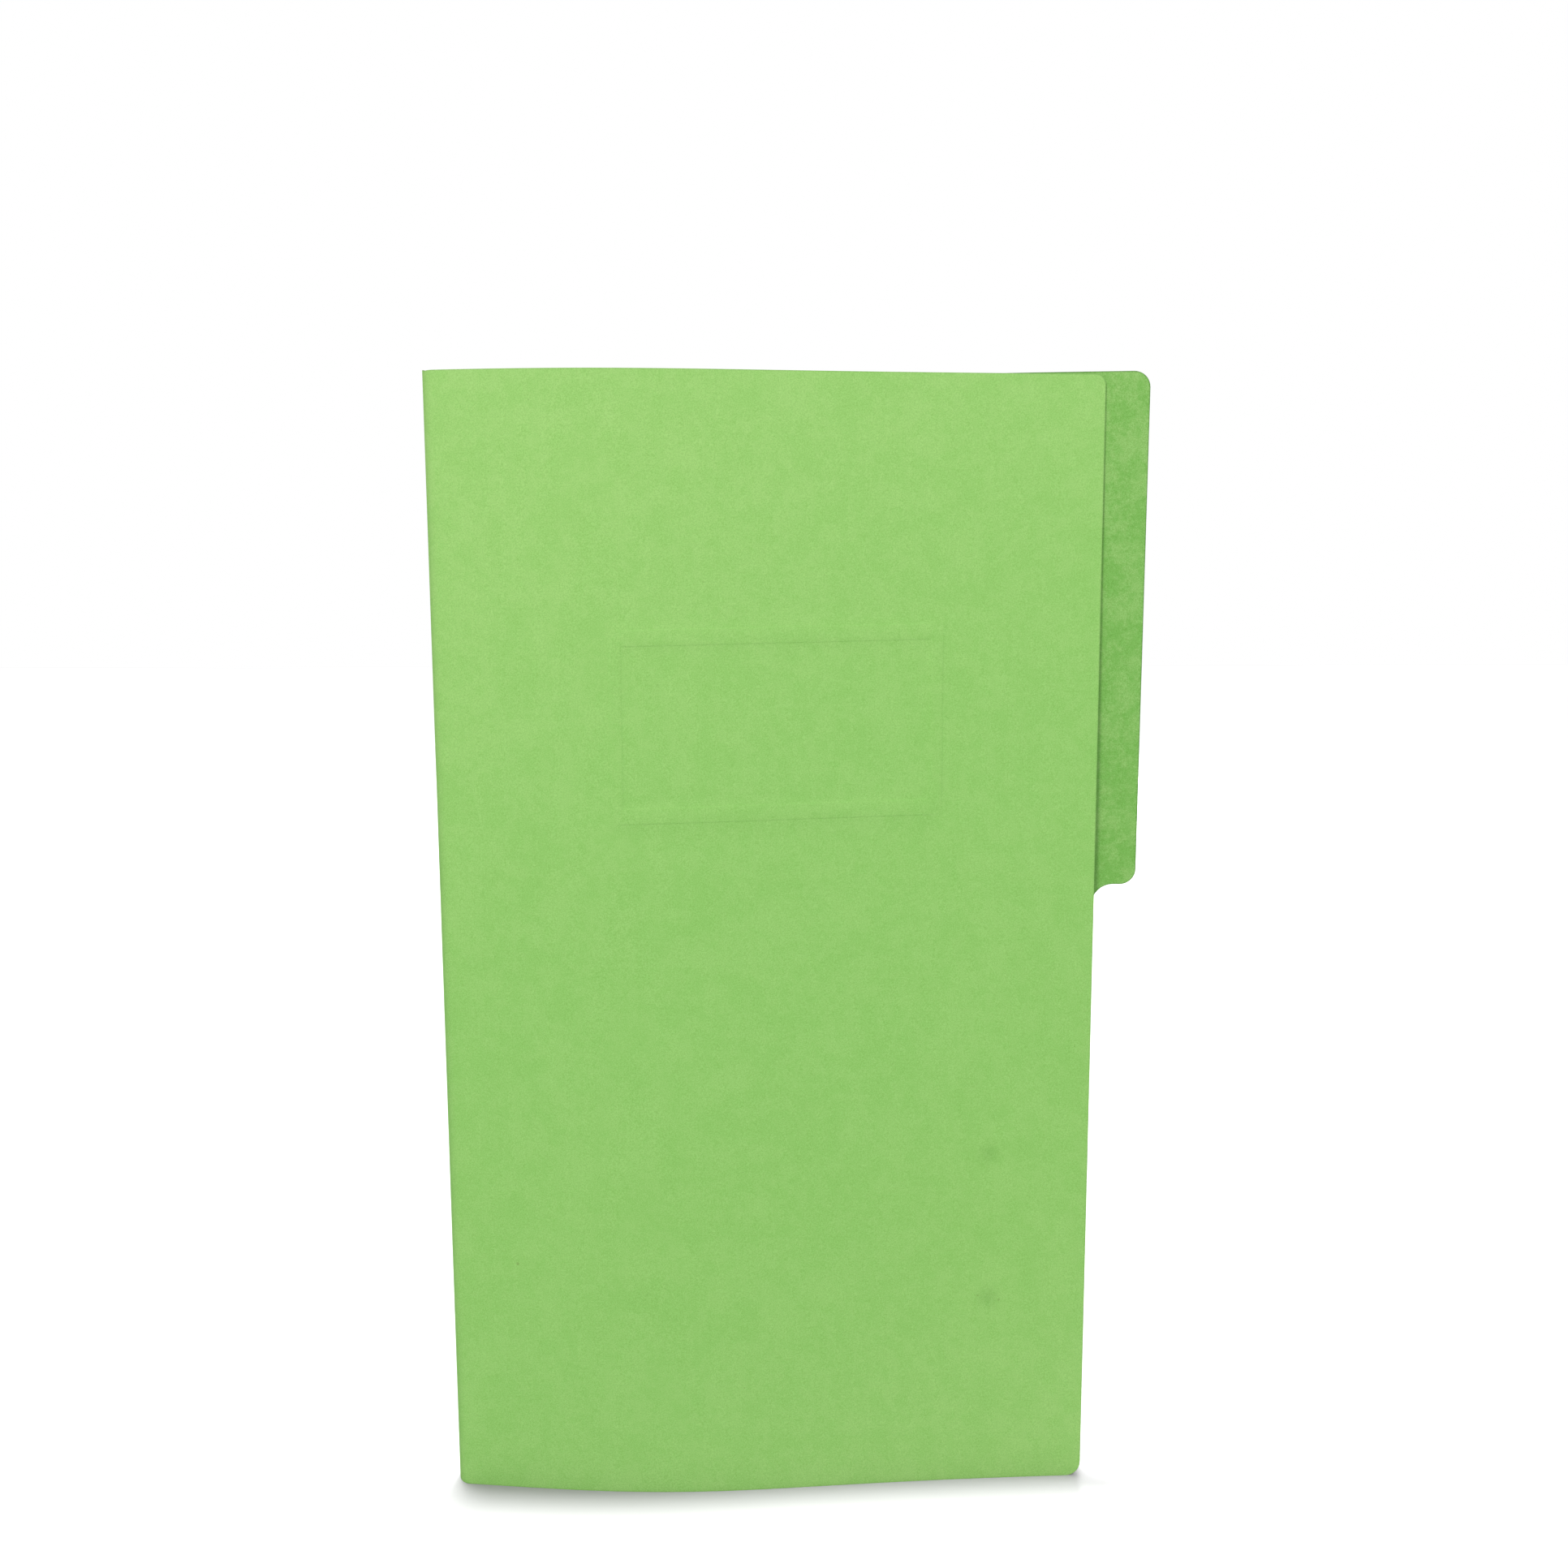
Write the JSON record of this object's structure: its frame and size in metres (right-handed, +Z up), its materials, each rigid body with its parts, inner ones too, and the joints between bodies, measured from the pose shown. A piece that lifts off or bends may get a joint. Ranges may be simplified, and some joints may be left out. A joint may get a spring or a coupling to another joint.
{
  "type": "file folder",
  "caption": "Upright green card file folder with a scored fold, a bowed front flap with an embossed label frame, and a half-cut tab on the back flap; it opens like a book to hold papers.",
  "frame": {"origin": "on the surface that the folder stands on, under the middle of its box", "axes": "+Z up along the fold, +X from the fold to the free edges and the tab, -Y out of the front flap"},
  "size_m": [0.2312, 0.0204, 0.3756],
  "materials": {
    "green_card": "matte uncoated card, light green"
  },
  "bodies": {
    "back_flap": {"back_flap": "green_card"},
    "spine_strip_1": {"spine_strip_1": "green_card"},
    "spine_strip_2": {"spine_strip_2": "green_card"},
    "spine_strip_3": {"spine_strip_3": "green_card"},
    "front_flap": {"front_flap": "green_card"}
  },
  "joints": [
    {"name": "score_2", "type": "hinge", "parent": "spine_strip_2", "child": "spine_strip_1", "pos_m": [-0.11539, 0.00147, 0], "axis": [0, 0, 1], "range_deg": [0, 42.6]},
    {"name": "score_1", "type": "hinge", "parent": "spine_strip_1", "child": "back_flap", "pos_m": [-0.11265, 0.0044, 0], "axis": [0, 0, 1], "range_deg": [0, 42.6]},
    {"name": "score_3", "type": "hinge", "parent": "spine_strip_2", "child": "spine_strip_3", "pos_m": [-0.11542, -0.00253, 0], "axis": [0, 0, -1], "range_deg": [0, 42.6]},
    {"name": "score_4", "type": "hinge", "parent": "spine_strip_3", "child": "front_flap", "pos_m": [-0.11273, -0.00549, 0], "axis": [0, 0, -1], "range_deg": [0, 42.6]}
  ],
  "couplings": [
    {"joint": "score_2", "follows": "score_1", "ratio": 1},
    {"joint": "score_3", "follows": "score_1", "ratio": 1},
    {"joint": "score_4", "follows": "score_1", "ratio": 1}
  ]
}
